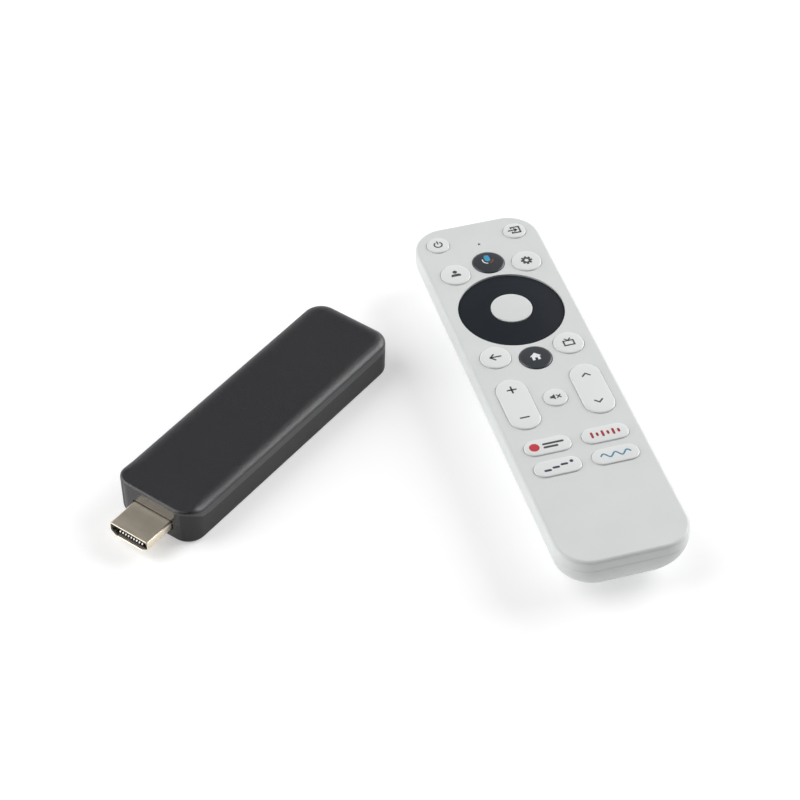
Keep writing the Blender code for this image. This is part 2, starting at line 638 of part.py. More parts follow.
def coil_spring(name, at, towards, length=3.2, turns=3, wire=0.25):
    """A battery spring that narrows from its plate towards the cell, along Y."""
    steps_per_turn = 10
    curve = bpy.data.curves.new(name, "CURVE")
    curve.dimensions = "3D"
    curve.bevel_depth = wire * MM
    curve.bevel_resolution = 1
    curve.use_fill_caps = True
    spline = curve.splines.new("POLY")
    count = turns * steps_per_turn + 1
    spline.points.add(count - 1)
    for index, point in enumerate(spline.points):
        share = index / (count - 1)
        angle = math.tau * index / steps_per_turn
        radius = 3.2 - 1.2 * share
        point.co = (radius * math.cos(angle) * MM, towards * length * share * MM,
                    radius * math.sin(angle) * MM, 1)
    obj = bpy.data.objects.new(name, curve)
    obj.location = to_metres(at)
    obj.parent = REMOTE_PLACE
    curve.materials.append(SHIELD_TIN)
    PARTS.objects.link(obj)


def make_battery_bay():
    make_cell("battery_left", -1, nub_towards_head=True)
    make_cell("battery_right", 1, nub_towards_head=False)
    head_end = CELL_TAIL + CELL_LENGTH
    plate_height, plate_base = 6.6, 4.0
    block("battery_contact_link", (19.0, 0.3, plate_height), (0, CELL_TAIL - 4.6, plate_base),
          SHIELD_TIN, parent=REMOTE_PLACE)
    block("battery_contact_plus", (8.0, 0.3, plate_height), (-CELL_X, head_end + 0.6, plate_base),
          SHIELD_TIN, parent=REMOTE_PLACE)
    block("battery_contact_minus", (8.0, 0.3, plate_height), (CELL_X, head_end + 4.6, plate_base),
          SHIELD_TIN, parent=REMOTE_PLACE)
    coil_spring("battery_spring_left", (-CELL_X, CELL_TAIL - 3.9, CELL_Z), towards=1)
    coil_spring("battery_spring_right", (CELL_X, head_end + 3.9, CELL_Z), towards=-1)


make_stick_covers()
make_plug()
make_stick_electronics()
make_usb_port()
make_side_controls()
make_remote_covers()
make_round_keys()
make_long_keys()
make_dpad()
make_remote_electronics()
make_battery_bay()

for part in PARTS.objects:
    if part.type == "MESH":
        shade_round(part)
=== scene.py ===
"""Looks of the streaming media player kit: the HDMI stick and its hand remote on a pale floor.

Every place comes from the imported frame: a node's box gives its centre, and the rocker's joint axis
gives the direction across the remote. Small sizes are in millimetres; MM turns them into metres.
"""
import json
import math

import bmesh
import bpy
from mathutils import Matrix, Vector


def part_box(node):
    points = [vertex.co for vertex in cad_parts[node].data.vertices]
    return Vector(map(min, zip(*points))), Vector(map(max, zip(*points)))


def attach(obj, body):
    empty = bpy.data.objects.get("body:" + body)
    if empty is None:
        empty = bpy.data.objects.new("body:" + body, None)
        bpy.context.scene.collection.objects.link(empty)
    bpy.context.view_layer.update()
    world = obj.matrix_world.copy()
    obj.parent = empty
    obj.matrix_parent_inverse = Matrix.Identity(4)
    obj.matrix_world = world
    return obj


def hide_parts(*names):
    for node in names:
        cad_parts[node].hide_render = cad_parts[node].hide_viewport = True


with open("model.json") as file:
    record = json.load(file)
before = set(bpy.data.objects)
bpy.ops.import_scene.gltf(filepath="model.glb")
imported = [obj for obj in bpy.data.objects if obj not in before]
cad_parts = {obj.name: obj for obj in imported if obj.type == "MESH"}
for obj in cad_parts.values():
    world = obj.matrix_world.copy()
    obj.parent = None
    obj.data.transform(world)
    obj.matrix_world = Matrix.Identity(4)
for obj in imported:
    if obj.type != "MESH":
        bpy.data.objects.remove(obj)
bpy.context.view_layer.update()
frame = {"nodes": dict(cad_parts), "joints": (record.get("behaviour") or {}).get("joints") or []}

MM = 0.001

# ---- View: the direction and distance that the picture was taken from ----
VIEW_AZIMUTH = math.radians(36.6)
VIEW_ELEVATION = math.radians(43.8)
VIEW_DISTANCE = 0.7575
VIEW_TARGET = Vector((0.0248, 0.0362, 0.0))
VIEW_LENS = 115.2

# ---- Stick, in its own frame, which is the frame's ----
STICK_LOW, STICK_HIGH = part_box("player_bottom_cover")
STICK_HALF = (STICK_HIGH.x / MM, STICK_HIGH.y / MM)
STICK_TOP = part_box("player_top_cover")[1].z / MM
STICK_CORNER = 5.9
STICK_BASE_RIM = 1.2
STICK_WALL = 1.4
SEAM = 0.03                    # width of the line between two covers
SIDE_RIM = (4.3, 2.1, 4.2)     # round edge's inward and downward reach, and the seam's depth
FRONT_RIM = (0.8, 1.0, 1.2)
FAR_RIM = (4.0, 2.2, 3.2)
RIM_CHANGE = (39.0, 46.0)      # how far along the stick the side rim turns into the end rims
RIM_FULLNESS = 2.15            # exponent of the rim's superellipse; 2 would be an ellipse
BASE_TAPER = 0.2               # how far the bottom cover's wall leans in at its foot
LONG_SPAN = 12.0               # straight edges longer than this get extra points

PLUG_CHAMFER = (2.3, 1.6)
PLUG_SHEET = 0.4
PLUG_ROUND = 0.8               # the sleeve's outer corners
PLUG_LIP = 0.25                # length of the rounding at its mouth
PLUG_GAP = 0.32                # between the plug and the cover's front
PLUG_RECESS = 0.35             # from the plug's mouth to its upper contact block
LOWER_RECESS = 0.7             # and to its lower one
TONGUE_SLOT = (11.6, 14.0, 2.1)
PIN_PITCH = 1.0
PIN_WIDTH = 0.45
PIN_THICKNESS = 0.2
PIN_BEND = ((0, -0.25), (0.25, 0.05), (1.6, 0.3), (2.6, 0.05))    # reach behind its nose, rise

CONTROL_FLANGE = 0.6           # thickness of the side controls' flanges
CONTROL_EDGE = 0.2
CONTROL_HOLES = (("reset_button", 1.2), ("status_light_guide", 1.0))
PORT_GAP = 0.3                 # round the power inlet
PORT_SHEET = 0.28              # its folded shell
PORT_SLANT = 1.0               # its cut lower corners
PORT_PIN = (0.32, 0.2)
PORT_PIN_PITCH = 0.65

# ---- Remote ----
REMOTE_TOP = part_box("remote_top_cover")[1].z / MM
REMOTE_HALF = (39.4 / 2, 145.4 / 2)
REMOTE_CORNER = 9.9
REMOTE_TOP_RIM = 1.1
REMOTE_WALL = 1.2
REMOTE_PARTING = 12.3
REMOTE_CEILING = 14.9
BELLY_TOP = 12.1
BELLY_REACH = (16.3, 12.1)
BELLY_CORNER = 3.2
DOOR_HEIGHT = 5.0
GROOVE = (14.0, 0.8, 0.35)     # thumb grooves across the battery door
GROOVES = 6
GROOVE_PITCH = 1.8
FIRST_GROOVE = 5.0             # from the door's front edge
RING_RISE = 0.9                # the direction ring rises from its edge to its bore
DOOR_SEAM = 0.15
HAIRLINE = 0.03                # half of the seam between the remote's two covers
KEY_GAP = 0.1
FLANGE_OUT = 0.7               # a key's flange outside its stem, and its thickness
FLANGE_HEIGHT = 0.4
KEY_EDGE = 0.45
DARK_KEY_EDGE = 0.6
EDGE_TURN = 80                 # degrees that a key's round edge turns before its crown
OK_FLANGE_BASE = 14.3          # height of the select key's flange
OK_GAP = 0.12                  # between the select key and its ring
RING_LIP = 0.9                 # thickness of the ring where it covers the key's flange
MICROPHONE_HOLE = 0.45
CELL_NUB = 1.9                 # radius of a cell's plus contact
CELL_BAND = (13.0, 1.75)       # where its copper band starts and stops below the plus end

ROUND_KEYS = ["power_key", "input_key", "assistant_key", "profile_key", "settings_key",
              "back_key", "home_key", "live_tv_key", "mute_key"]
DARK_KEYS = ["assistant_key", "home_key"]
LONG_KEYS = ["app_key_1", "app_key_2", "app_key_3", "app_key_4", "volume_rocker",
             "channel_rocker"]


def box_mm(node):
    """A node's lowest and highest corners, in millimetres."""
    return [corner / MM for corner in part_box(node)]


def remote_placement():
    """The remote's own axes and centre: its rocker's hinge runs across it."""
    across = next(Vector(joint["axis"]) for joint in frame["joints"]
                  if joint["name"] == "volume_rock")
    low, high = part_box("remote_top_cover")
    centre = (low + high) / 2
    turn = math.atan2(across.y, across.x)
    return Matrix.Translation((centre.x, centre.y, 0)) @ Matrix.Rotation(turn, 4, "Z")


REMOTE = remote_placement()
STICK = Matrix.Identity(4)


def local_centre(node, placement=REMOTE):
    """A node's centre in a placement's axes, in millimetres."""
    low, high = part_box(node)
    return placement.inverted() @ ((low + high) / 2) / MM


def local_size(node, placement=REMOTE):
    """A node's size along a placement's axes, in millimetres."""
    inverse = placement.inverted()
    points = [inverse @ vert.co for vert in frame["nodes"][node].data.vertices]
    return [(max(p[i] for p in points) - min(p[i] for p in points)) / MM for i in range(3)]


# ---- Materials ----
def sRGB(red, green, blue):
    """Linear colour from 0-255 screen values."""
    def linear(value):
        value /= 255
        return value / 12.92 if value <= 0.04045 else ((value + 0.055) / 1.055) ** 2.4
    return (linear(red), linear(green), linear(blue), 1.0)


def map_range(tree, factor, low, high, start=0.0, end=1.0):
    """A value that goes from low to high while the factor goes from start to end."""
    node = tree.nodes.new("ShaderNodeMapRange")
    for socket, value in (("From Min", start), ("From Max", end), ("To Min", low),
                          ("To Max", high)):
        node.inputs[socket].default_value = value
    tree.links.new(factor, node.inputs["Value"])
    return node.outputs["Result"]


class Surface:
    """A Principled material with noise-driven colour, roughness and bump."""

    def __init__(self, name, **shader_values):
        self.material = bpy.data.materials.new(name)
        self.material.use_nodes = True
        self.nodes = self.material.node_tree.nodes
        self.links = self.material.node_tree.links
        self.shader = self.nodes["Principled BSDF"]
        self.coords = self.nodes.new("ShaderNodeTexCoord").outputs["Object"]
        for socket, value in shader_values.items():
            self.shader.inputs[socket.replace("_", " ")].default_value = value

    def noise(self, scale, detail=2.0, stretch=(1, 1, 1), roughness=0.5):
        mapping = self.nodes.new("ShaderNodeMapping")
        mapping.inputs["Scale"].default_value = stretch
        self.links.new(self.coords, mapping.inputs["Vector"])
        node = self.nodes.new("ShaderNodeTexNoise")
        node.inputs["Scale"].default_value = scale
        node.inputs["Detail"].default_value = detail
        node.inputs["Roughness"].default_value = roughness
        self.links.new(mapping.outputs["Vector"], node.inputs["Vector"])
        return node.outputs["Fac"]

    def ramp(self, factor, stops):
        node = self.nodes.new("ShaderNodeValToRGB")
        ramp = node.color_ramp
        while len(ramp.elements) < len(stops):
            ramp.elements.new(0.5)
        for element, (place, colour) in zip(ramp.elements, stops):
            element.position = place
            element.color = colour
        self.links.new(factor, node.inputs["Fac"])
        return node.outputs["Color"]

    def colour(self, factor, low, high):
        self.links.new(self.ramp(factor, [(0.3, low), (0.7, high)]),
                       self.shader.inputs["Base Color"])

    def roughness(self, factor, low, high):
        rough = map_range(self.material.node_tree, factor, low, high)
        self.links.new(rough, self.shader.inputs["Roughness"])

    def bump(self, factor, strength, distance):
        node = self.nodes.new("ShaderNodeBump")
        node.inputs["Strength"].default_value = strength
        node.inputs["Distance"].default_value = distance
        self.links.new(factor, node.inputs["Height"])
        self.links.new(node.outputs["Normal"], self.shader.inputs["Normal"])


def moulded_plastic(name, dark, light, rough, grain=2800, depth=0.00003, specular=0.5):
    """Spark-eroded plastic, from two screen colours: a fine grain, a slow drift of tone."""
    surface = Surface(name, Specular_IOR_Level=specular)
    surface.colour(surface.noise(60, 3), sRGB(*dark), sRGB(*light))
    surface.roughness(surface.noise(900, 2), rough - 0.05, rough + 0.05)
    surface.bump(surface.noise(grain, 3, roughness=0.65), 0.5, depth)
    return surface.material


def plated_metal(name, dark, light, rough, stretch=(1, 1, 1)):
    """Plated sheet, from two linear colours: a cloudy tone and fine lines along one axis."""
    surface = Surface(name, Metallic=1.0)
    surface.colour(surface.noise(220, 4), dark, light)
    surface.roughness(surface.noise(1500, 3, stretch), rough - 0.06, rough + 0.06)
    surface.bump(surface.noise(2500, 2, stretch), 0.25, 0.00001)
    return surface.material


def plain_ink(name, colour):
    """Printed ink with a slightly uneven film."""
    surface = Surface(name)
    ink = sRGB(*colour)
    darker = tuple(channel * 0.85 for channel in ink[:3]) + (1.0,)
    surface.colour(surface.noise(1500, 2), darker, ink)
    surface.roughness(surface.noise(2500, 2), 0.49, 0.61)
    return surface.material


def clear_material():
    """Milky clear plastic."""
    surface = Surface("clear_plastic", Transmission_Weight=0.8, IOR=1.49)
    surface.colour(surface.noise(300), sRGB(225, 228, 225), sRGB(238, 240, 238))
    surface.roughness(surface.noise(700), 0.12, 0.2)
    return surface.material


def board_material():
    """Green solder mask over copper tracks."""
    surface = Surface("solder_mask", Specular_IOR_Level=0.5)
    cells = surface.nodes.new("ShaderNodeTexVoronoi")
    cells.feature = "DISTANCE_TO_EDGE"
    cells.distance = "MANHATTAN"
    cells.inputs["Scale"].default_value = 420
    surface.links.new(surface.coords, cells.inputs["Vector"])
    tracks = surface.ramp(cells.outputs["Distance"],
                          [(0.04, (0.03, 0.2, 0.09, 1)), (0.08, (0.01, 0.09, 0.035, 1))])
    surface.links.new(tracks, surface.shader.inputs["Base Color"])
    surface.roughness(surface.noise(900, 2), 0.3, 0.42)
    surface.bump(cells.outputs["Distance"], 0.3, 0.00004)
    return surface.material


STICK_TOP_PLASTIC = moulded_plastic("stick_top_plastic", (15, 16, 22), (19, 20, 26),
                                    0.37, depth=0.0002, specular=0.76)
STICK_SIDE_PLASTIC = moulded_plastic("stick_side_plastic", (22, 22, 24), (26, 26, 28),
                                     0.5, depth=0.00005, specular=0.4)
# The bottom cover's front faces have a smoother finish. Their colour is lighter than the same
# cover's side walls, which is painted light on the forward-facing faces.
STICK_FRONT_SMOOTH_PAINTED_LIGHT = moulded_plastic("stick_front_smooth_painted_light", (36, 36, 39), (40, 40, 43),
                                      0.24, depth=0.000008, specular=0.46)
REMOTE_WHITE = moulded_plastic("remote_white_plastic", (202, 205, 204), (206, 209, 208),
                               0.5, depth=0.00002)
KEY_WHITE = moulded_plastic("key_white_plastic", (213, 215, 214), (217, 219, 218), 0.42,
                            depth=0.000015)
KEY_DARK = moulded_plastic("key_dark_plastic", (50, 53, 56), (56, 59, 62), 0.33,
                           depth=0.00002)
RING_NAVY = moulded_plastic("ring_navy_plastic", (18, 23, 31), (22, 27, 35), 0.58,
                            specular=0.22)
CELL_DARK = moulded_plastic("cell_jacket_dark", (34, 40, 36), (40, 46, 42), 0.3,
                            depth=0.000006)
CELL_COPPER = plated_metal("cell_copper_band", (0.62, 0.33, 0.14, 1), (0.7, 0.4, 0.18, 1), 0.3)
NICKEL = plated_metal("satin_nickel", (0.78, 0.70, 0.57, 1), (0.9, 0.81, 0.67, 1), 0.36,
                      stretch=(0.15, 1, 1))
TIN = plated_metal("tinned_steel", (0.5, 0.5, 0.48, 1), (0.62, 0.62, 0.6, 1), 0.34)
ALUMINIUM = plated_metal("rolled_aluminium", (0.6, 0.6, 0.61, 1), (0.7, 0.7, 0.71, 1), 0.36,
                         stretch=(1, 0.06, 1))
GOLD = plated_metal("gold_flash", (0.7, 0.48, 0.17, 1), (0.83, 0.6, 0.27, 1), 0.24)
PIN_TIN = plated_metal("contact_tin", (0.46, 0.45, 0.42, 1), (0.55, 0.54, 0.5, 1), 0.35)
INSULATOR = moulded_plastic("black_insulator", (20, 20, 21), (28, 28, 29), 0.5)
CHIP = moulded_plastic("chip_resin", (28, 28, 30), (36, 36, 38), 0.45, grain=6000)
BOARD = board_material()
PAD = moulded_plastic("thermal_silicone", (140, 152, 165), (155, 168, 180), 0.7)
RUBBER = moulded_plastic("silicone_rubber", (120, 120, 122), (130, 130, 132), 0.65)
CLEAR = clear_material()
INFRARED = moulded_plastic("infrared_window", (24, 8, 12), (32, 12, 16), 0.12,
                           depth=0.000004)
INK = plain_ink("icon_ink", (66, 68, 70))
INK_WHITE = plain_ink("icon_white_ink", (226, 226, 230))
INK_BLUE = plain_ink("icon_blue_ink", (58, 150, 190))
INK_CORAL = plain_ink("icon_coral_ink", (150, 62, 60))
INK_RED = plain_ink("label_red_ink", (190, 52, 60))
INK_CRIMSON = plain_ink("label_crimson_ink", (160, 44, 54))
INK_NAVY = plain_ink("label_navy_ink", (60, 62, 84))
INK_TEAL = plain_ink("label_teal_ink", (76, 132, 160))


# ---- Mesh tools ----
def new_piece(name, bm, material, placement=STICK, at=(0, 0, 0)):
    """An object from millimetre geometry, moved to its place in the frame."""
    bmesh.ops.recalc_face_normals(bm, faces=bm.faces)
    mesh = bpy.data.meshes.new(name)
    bm.transform(placement @ Matrix.Translation(Vector(at) * MM) @ Matrix.Scale(MM, 4))
    bm.to_mesh(mesh)
    bm.free()
    mesh.materials.append(material)
    return link(name, mesh)


def link(name, data):
    """A new object in the scene."""
    obj = bpy.data.objects.new(name, data)
    bpy.context.scene.collection.objects.link(obj)
    return obj


def bake_modifiers(obj):
    graph = bpy.context.evaluated_depsgraph_get()
    mesh = bpy.data.meshes.new_from_object(obj.evaluated_get(graph))
    obj.modifiers.clear()
    obj.data = mesh


def cut(obj, tools, operation="DIFFERENCE"):
    """Boolean each tool on obj, for good, and take the tools away."""
    for tool in tools:
        modifier = obj.modifiers.new("cut", "BOOLEAN")
        modifier.operation = operation
        modifier.object = tool
    bpy.context.view_layer.update()
    bake_modifiers(obj)
    for tool in tools:
        bpy.data.objects.remove(tool)


def finish_edges(obj, width=0.0):
    """Round sharp edges slightly, then shade smooth with flat faces kept flat."""
    if width:
        bevel = obj.modifiers.new("edge", "BEVEL")
        bevel.width = width * MM
        bevel.segments = 2
        bevel.limit_method = "ANGLE"
        bevel.angle_limit = math.radians(50)
        bevel.use_clamp_overlap = True
        bake_modifiers(obj)
    obj.data.shade_smooth()
    obj.data.set_sharp_from_angle(angle=math.radians(42))
    normals = obj.modifiers.new("normals", "WEIGHTED_NORMAL")
    normals.keep_sharp = True
    bake_modifiers(obj)


def install(piece, body, node, edge=0.0):
    """Finish a piece's edges, and mount it on a body in place of a CAD node."""
    finish_edges(piece, edge)
    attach(piece, body)
    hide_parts(node)


def quarter_turn(steps):
    """Cosine and sine at even steps from 0 to 90 degrees."""
    angles = [math.radians(90) * step / steps for step in range(steps + 1)]
    return [(math.cos(angle), math.sin(angle)) for angle in angles]


def plan_ring(half, corner, steps=14):
    """Points and outward normals round a rounded rectangle, anticlockwise."""
    ring = []
    for quarter in range(4):
        sign = Vector((1 if quarter in (0, 3) else -1, 1 if quarter in (0, 1) else -1))
        centre = Vector((sign.x * (half[0] - corner), sign.y * (half[1] - corner)))
        for step in range(steps + 1):
            angle = math.radians(90) * (quarter + step / steps)
            normal = Vector((math.cos(angle), math.sin(angle)))
            ring.append((centre + corner * normal, normal))
    return ring


def flat_ring(half, corner, height, steps=14):
    return [Vector((*point, height)) for point, _ in plan_ring(half, corner, steps)]


def skin(bm, rings, wrap=False):
    """Quads between rings of equal count, and from the last back to the first if wrapped."""
    loops = [[bm.verts.new(point) for point in ring] for ring in rings]
    for low, high in zip(loops, loops[1:] + (loops[:1] if wrap else [])):
        for index, vert in enumerate(low):
            after = (index + 1) % len(low)
            bm.faces.new((vert, low[after], high[after], high[index]))
    return loops


def loft(rings, bm=None):
    """A closed solid through rings of equal count, alone or beside what a mesh has."""
    if bm is None:
        bm = bmesh.new()
    loops = skin(bm, rings)
    bm.faces.new(reversed(loops[0]))
    bm.faces.new(loops[-1])
    return bm


def loft_loop(rings):
    """A closed ring-shaped solid: the last ring joins the first."""
    bm = bmesh.new()
    skin(bm, rings, wrap=True)
    return bm


def turned(profile, steps=72):
    """The rings that (radius, height) points make when they turn about Z."""
    return [[Vector((radius * math.cos(math.tau * i / steps),
                     radius * math.sin(math.tau * i / steps), height)) for i in range(steps)]
            for radius, height in profile]


def bore(radius, low, high, steps=72):
    """A cylinder for cutting a round hole."""
    return loft(turned([(radius, low), (radius, high)], steps))


def new_box(name, size, centre, material, placement=STICK):
    bm = bmesh.new()
    bmesh.ops.create_cube(bm, size=1.0)
    bm.transform(Matrix.Translation(Vector(centre)) @ Matrix.Diagonal((*size, 1)))
    return new_piece(name, bm, material, placement)


def box_tool(size, centre, placement=STICK):
    return new_box("tool", size, centre, INSULATOR, placement)


def arc(centre, radius, start, end, steps):
    """Points on an arc, angles in degrees."""
    return [(centre[0] + radius * math.cos(math.radians(start + (end - start) * i / steps)),
             centre[1] + radius * math.sin(math.radians(start + (end - start) * i / steps)))
            for i in range(steps + 1)]


# ---- Stick covers ----
def rim_at(y):
    """The round edge's inward and downward reach and the seam's depth at a place along Y."""
    start, end = RIM_CHANGE
    share = min(max((abs(y) - start) / (end - start), 0), 1)
    share = share * share * (3 - 2 * share)
    end_rim = FRONT_RIM if y < 0 else FAR_RIM
    return tuple(side + (last - side) * share for side, last in zip(SIDE_RIM, end_rim))


def stick_plan():
    """The stick's plan with extra points along its long sides, where the rim changes."""
    ring = plan_ring(STICK_HALF, STICK_CORNER)
    dense = []
    for (point, normal), (after, _) in zip(ring, ring[1:] + ring[:1]):
        dense.append((point, normal))
        if (after - point).length > LONG_SPAN:
            count = 24 if abs(after.y - point.y) > LONG_SPAN else 8
            dense += [(point.lerp(after, i / count), normal) for i in range(1, count)]
    return dense


def inward(point, normal, inset, height):
    moved = point - normal * inset
    return Vector((moved.x, moved.y, height))


def make_stick_top():
    plan = stick_plan()
    rings = [[inward(p, n, STICK_WALL + 1.6, STICK_TOP - STICK_WALL) for p, n in plan],
             [inward(p, n, STICK_WALL, STICK_TOP - rim_at(p.y)[2]) for p, n in plan],
             [inward(p, n, 0, STICK_TOP - rim_at(p.y)[2]) for p, n in plan]]
    power = 2 / RIM_FULLNESS
    for cosine, sine in quarter_turn(20):
        ring = []
        for point, normal in plan:
            inset, drop, _ = rim_at(point.y)
            ring.append(inward(point, normal, inset * (1 - cosine ** power),
                               STICK_TOP - drop * (1 - sine ** power)))
        rings.append(ring)
    cover = new_piece("stick_top_cover", loft(rings), STICK_TOP_PLASTIC)
    install(cover, "player", "player_top_cover")


def make_stick_bottom():
    plan = stick_plan()
    top = [STICK_TOP - rim_at(p.y)[2] - SEAM for p, _ in plan]
    rings = [[inward(p, n, STICK_WALL + 1.0, STICK_WALL) for p, n in plan],
             [inward(p, n, STICK_WALL, STICK_WALL + 1.0) for p, n in plan],
             [inward(p, n, STICK_WALL, z) for (p, n), z in zip(plan, top)],
             [inward(p, n, 0.04, z) for (p, n), z in zip(plan, top)],
             [inward(p, n, 0.01, z - 0.04) for (p, n), z in zip(plan, top)]]
    for cosine, sine in quarter_turn(8):
        inset = STICK_BASE_RIM * (1 - cosine)
        height = STICK_BASE_RIM * (1 - sine)
        rings.append([inward(p, n, inset + BASE_TAPER, height) for p, n in plan])
    cover = new_piece("stick_bottom_cover", loft(rings), STICK_SIDE_PLASTIC)
    port = local_centre("micro_usb_port", STICK)
    width, _, height = local_size("micro_usb_port", STICK)
    tools = [plug_tool(local_centre("hdmi_plug_shell", STICK),
                       local_size("hdmi_plug_shell", STICK), PLUG_GAP, -STICK_HALF[1]),
             box_tool((width + 2 * PORT_GAP, 8, height + 2 * PORT_GAP),
                      (port.x, STICK_HALF[1], port.z))]
    for node, radius in CONTROL_HOLES:
        centre = local_centre(node, STICK)
        hole = bore(radius, 0, 6, 32)
        hole.transform(Matrix.Translation((-STICK_HALF[0] - 3, centre.y, centre.z))
                       @ Matrix.Rotation(math.radians(90), 4, "Y"))
        tools.append(new_piece("tool", hole, INSULATOR))
    cut(cover, tools)
    # Forward-facing faces take the smoother front plastic, whose lighter colour is painted light.
    cover.data.materials.append(STICK_FRONT_SMOOTH_PAINTED_LIGHT)
    for face in cover.data.polygons:
        if face.normal.y < -0.9 and face.center.y < STICK_LOW.y + 0.5 * MM:
            face.material_index = 1
    install(cover, "player", "player_bottom_cover")


# ---- Plug ----
def plug_section(size, margin, radius):
    """The plug's outline with small rounded corners, as (x, z) points round its centre."""
    half_width, half_height = size[0] / 2 - margin, size[2] / 2 - margin
    chamfer, rise = (value - margin * 0.5 for value in PLUG_CHAMFER)
    corners = [(half_width, half_height), (-half_width, half_height),
               (-half_width, -half_height + rise), (-half_width + chamfer, -half_height),
               (half_width - chamfer, -half_height), (half_width, -half_height + rise)]
    points = []
    for index, corner in enumerate(corners):
        before = Vector(corners[index - 1])
        after = Vector(corners[(index + 1) % len(corners)])
        here = Vector(corner)
        start = here + (before - here).normalized() * radius
        end = here + (after - here).normalized() * radius
        for share in (0, 0.25, 0.5, 0.75, 1):
            points.append(start.lerp(here, share).lerp(here.lerp(end, share), share))
    return points


def plug_ring(centre, size, margin, y, radius=PLUG_ROUND):
    return [Vector((centre.x + p.x, y, centre.z + p.y))
            for p in plug_section(size, margin, radius)]


def plug_tool(centre, size, gap, face):
    """A block that cuts the plug's outline, a gap wider all round, through a face."""
    rings = [plug_ring(centre, size, -gap, y) for y in (face - 4, face + 4)]
    return new_piece("tool", loft(rings), INSULATOR)


def make_plug():
    low, high = box_mm("hdmi_plug_shell")
    centre, size = (low + high) / 2, high - low
    front, back = low.y, high.y
    inner = PLUG_ROUND - PLUG_SHEET
    stations = [(PLUG_SHEET, back, inner), (PLUG_SHEET, front + PLUG_LIP, inner),
                (PLUG_SHEET - 0.1, front + 0.05, inner), (0.22, front, PLUG_ROUND),
                (0.08, front + 0.06, PLUG_ROUND), (0.0, front + PLUG_LIP, PLUG_ROUND),
                (0.0, back, PLUG_ROUND)]
    rings = [plug_ring(centre, size, *station) for station in stations]
    sleeve = new_piece("plug_sleeve", loft_loop(rings), NICKEL)
    install(sleeve, "player", "hdmi_plug_shell")
    make_plug_insulator(centre, size, front, back)
    make_plug_contacts("hdmi_contacts_upper", 10, -1, front + PLUG_RECESS)
    make_plug_contacts("hdmi_contacts_lower", 9, 1, front + LOWER_RECESS)


def make_plug_insulator(centre, size, front, back):
    """The dark block inside the sleeve, with the slot that takes the television's tongue."""
    rings = [plug_ring(centre, size, PLUG_SHEET + 0.06, y, 0.4)
             for y in (front + PLUG_RECESS, back - 0.5)]
    block = new_piece("plug_insulator", loft(rings), INSULATOR)
    mouth_floor = centre.z - size.z / 2
    cut(block, [box_tool(TONGUE_SLOT, (centre.x, front, centre.z - 0.1)),
                box_tool((20, 2 * LOWER_RECESS, size.z),
                         (centre.x, front, mouth_floor + 0.4))])
    install(block, "player", "hdmi_insulator", 0.08)


def make_plug_contacts(node, count, face, nose):
    """A comb of flat spring contacts, each with a turned nose, lying on one side of the slot."""
    low, high = box_mm(node)
    middle = (low + high) / 2
    start = nose + 0.15
    outline = [(start + reach, rise * face) for reach, rise in PIN_BEND] + [(high.y, 0.0)]
    bm = bmesh.new()
    for index in range(count):
        x = middle.x + (index - (count - 1) / 2) * PIN_PITCH
        loft([[(x + sx * PIN_WIDTH / 2, y, middle.z + z + sz * PIN_THICKNESS / 2)
               for sx, sz in ((-1, -1), (1, -1), (1, 1), (-1, 1))] for y, z in outline], bm)
    comb = new_piece(node + "_fine", bm, PIN_TIN)
    install(comb, "player", node)


# ---- Small parts of the stick ----
def make_side_controls():
    """The reset button and the status light's guide, both turned about X."""
    for node, body, material, slot, flange in (
            ("reset_button", "reset_button", STICK_SIDE_PLASTIC, "charcoal_plastic", 0.5),
            ("status_light_guide", "player", CLEAR, "clear_plastic", 0.0)):
        low, high = box_mm(node)
        length = high.x - low.x
        radius = (high.y - low.y) / 2 - flange
        profile = [(radius + flange, 0), (radius + flange, CONTROL_FLANGE),
                   (radius, CONTROL_FLANGE)]
        profile += arc((radius - CONTROL_EDGE, length - CONTROL_EDGE - 0.05), CONTROL_EDGE,
                       0, EDGE_TURN, 4)
        profile.append((0, length))
        bm = key_solid(profile, 48)
        bm.transform(Matrix.Rotation(math.radians(-90), 4, "Y"))
        piece = new_piece(node + "_fine", bm, material,
                          at=(high.x, (low.y + high.y) / 2, (low.z + high.z) / 2))
        install(piece, body, node)


def port_ring(centre, size, margin, y):
    """The micro USB outline: square at the top and slanted at its lower corners."""
    half_width, half_height = size.x / 2 - margin, size.z / 2 - margin
    slant = PORT_SLANT - margin * 0.4
    outline = [(half_width, half_height), (-half_width, half_height),
               (-half_width, -half_height + slant), (-half_width + slant, -half_height),
               (half_width - slant, -half_height), (half_width, -half_height + slant)]
    return [Vector((centre.x + x, y, centre.z + z)) for x, z in outline]


def make_usb_port():
    """The power inlet's folded shell, and the tongue with five contacts inside it."""
    low, high = box_mm("micro_usb_port")
    centre, size = (low + high) / 2, high - low
    stations = [(0.0, low.y), (0.0, high.y - 0.1), (0.08, high.y), (0.2, high.y),
                (PORT_SHEET, high.y - 0.1), (PORT_SHEET, low.y + 0.4)]
    port = new_piece("usb_port_fine", loft([port_ring(centre, size, margin, y)
                                            for margin, y in stations]), TIN)
    install(port, "player", "micro_usb_port", 0.06)

    low, high = box_mm("micro_usb_tongue")
    centre, size = (low + high) / 2, high - low
    tongue = new_box("usb_tongue_fine", size, centre, INSULATOR)
    width, thickness = PORT_PIN
    pins = [box_tool((width, size.y - 1.0, thickness),
                     (centre.x + (index - 2) * PORT_PIN_PITCH, centre.y + 0.3, low.z - 0.02))
            for index in range(5)]
    cut(tongue, pins, "UNION")
    install(tongue, "player", "micro_usb_tongue", 0.04)


# ---- Remote covers ----
def remote_section(wall, share_in, height):
    """The remote's plan at one height of its curved underside."""
    half = [half - wall - (reach - wall) * share_in
            for half, reach in zip(REMOTE_HALF, BELLY_REACH)]
    corner = REMOTE_CORNER - wall + (BELLY_CORNER - REMOTE_CORNER + wall) * share_in
    return flat_ring(half, corner, height)


